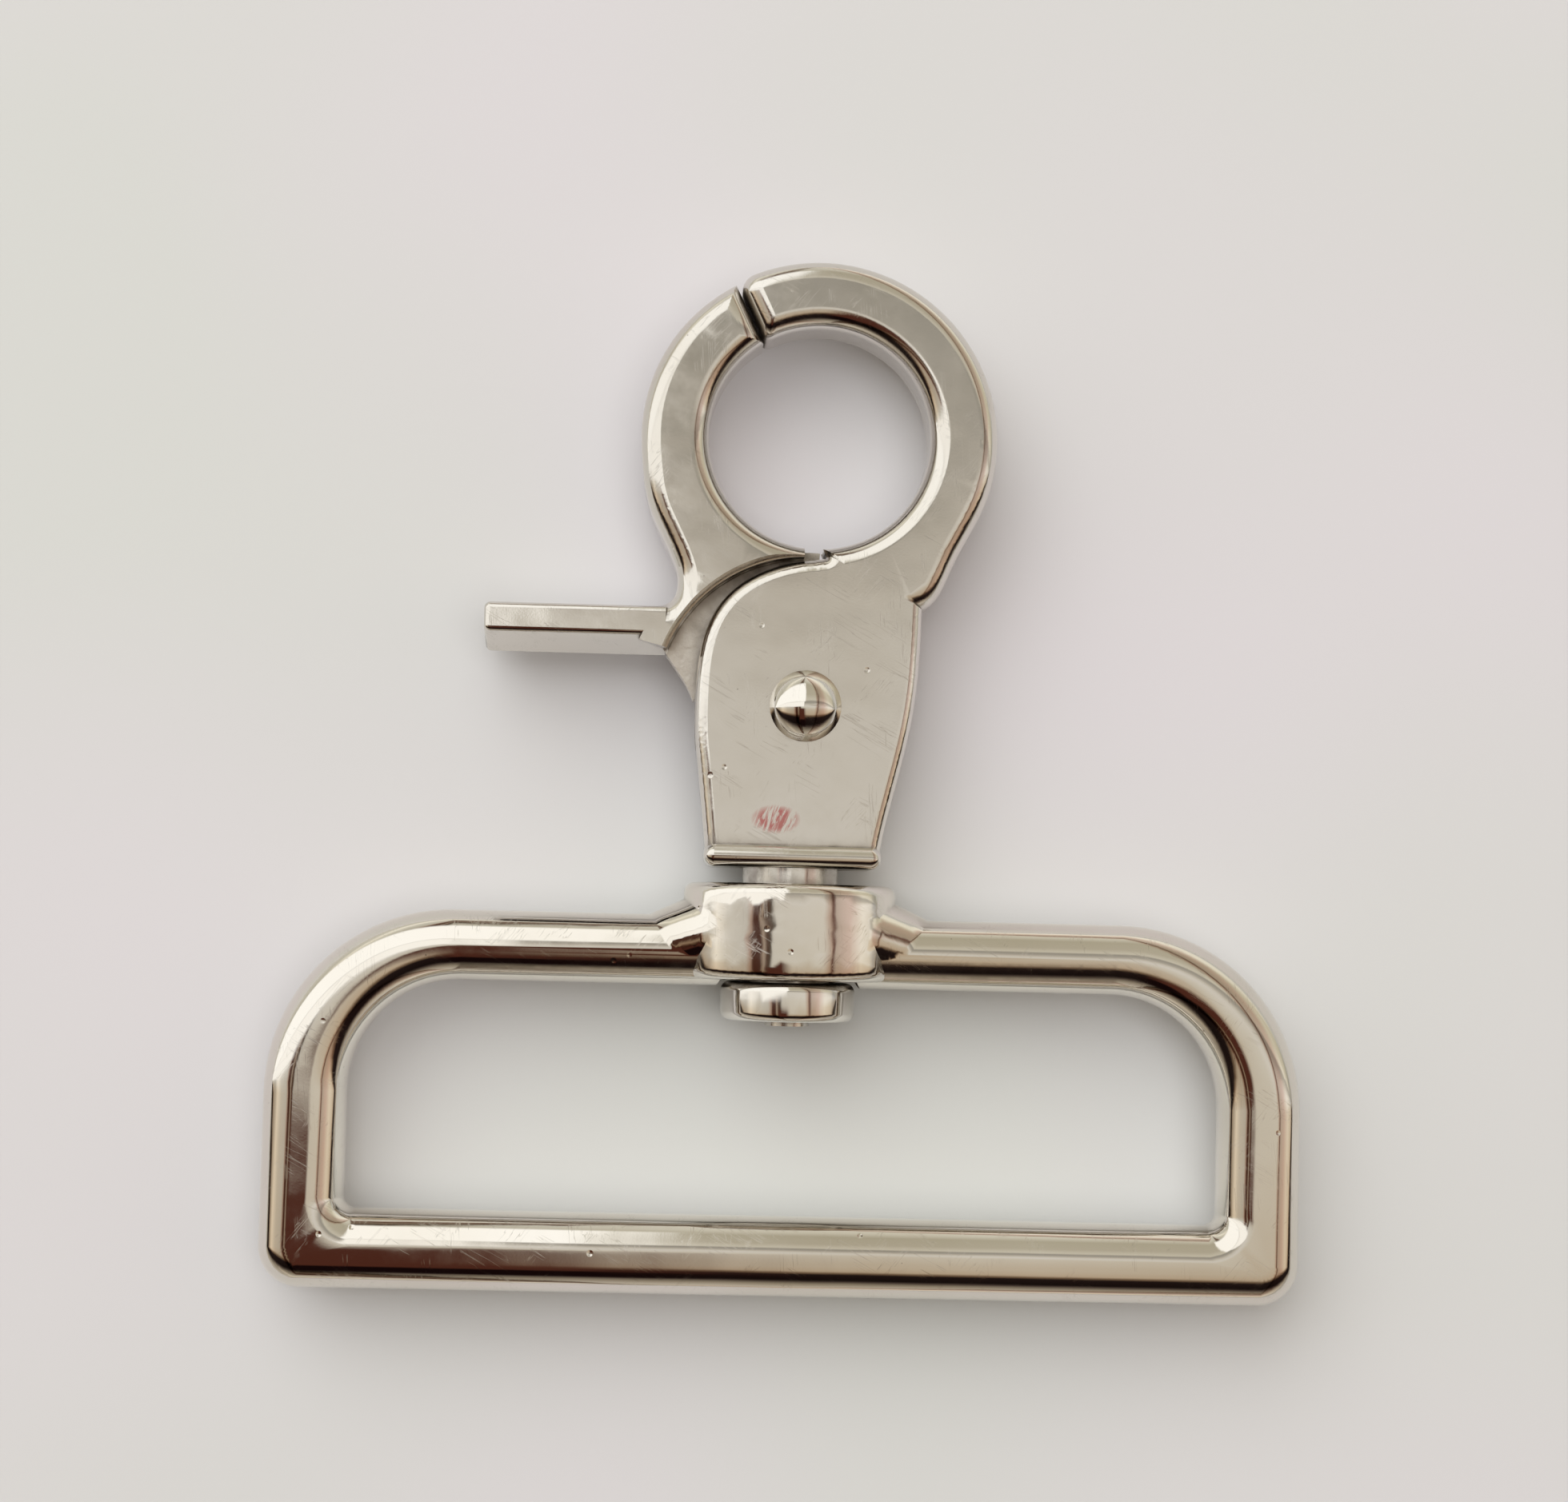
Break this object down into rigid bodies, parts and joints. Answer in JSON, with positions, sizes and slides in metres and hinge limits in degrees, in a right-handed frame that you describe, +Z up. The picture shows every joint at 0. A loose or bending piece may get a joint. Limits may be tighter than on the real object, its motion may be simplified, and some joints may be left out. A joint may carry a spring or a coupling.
{
  "type": "scissor snap hook",
  "caption": "Scissor snap hook: a sprung thumb lever opens a round hook eye that swivels on a wide D-shaped strap loop.",
  "frame": {"origin": "centre of the bounding box's bottom face; the swivel axis is parallel to Y through X 0", "axes": "+Z up with the hook lying flat, +Y along the swivel axis from the strap loop to the hook eye, +X to the side away from the thumb tab"},
  "size_m": [0.0594, 0.0595, 0.0084],
  "materials": {
    "body_plating": "bright nickel plate on a zinc casting",
    "lever_plating": "bright nickel plate on a zinc casting",
    "rivet_plating": "bright nickel plate on steel",
    "pin_plating": "bright nickel plate on steel",
    "loop_plating": "bright nickel plate on a zinc casting",
    "spring_wire": "plain spring wire"
  },
  "bodies": {
    "loop": {"strap_loop": "loop_plating"},
    "hook": {"hook_body": "body_plating", "pivot_rivet": "rivet_plating", "swivel_pin": "pin_plating", "lever_spring": "spring_wire"},
    "jaw": {"lever": "lever_plating"}
  },
  "joints": [
    {"name": "swivel", "type": "hinge", "parent": "loop", "child": "hook", "pos_m": [0, -0.00905, 0.0042], "axis": [0, 1, 0], "continuous": true},
    {"name": "lever_pivot", "type": "hinge", "parent": "hook", "child": "jaw", "pos_m": [0.00055, 0.0039, 0.0042], "axis": [0, 0, 1], "range_deg": [0, 24], "stiffness_Nm_per_rad": 0.1, "springref_deg": -34.38, "deforming": ["lever_spring"]}
  ]
}
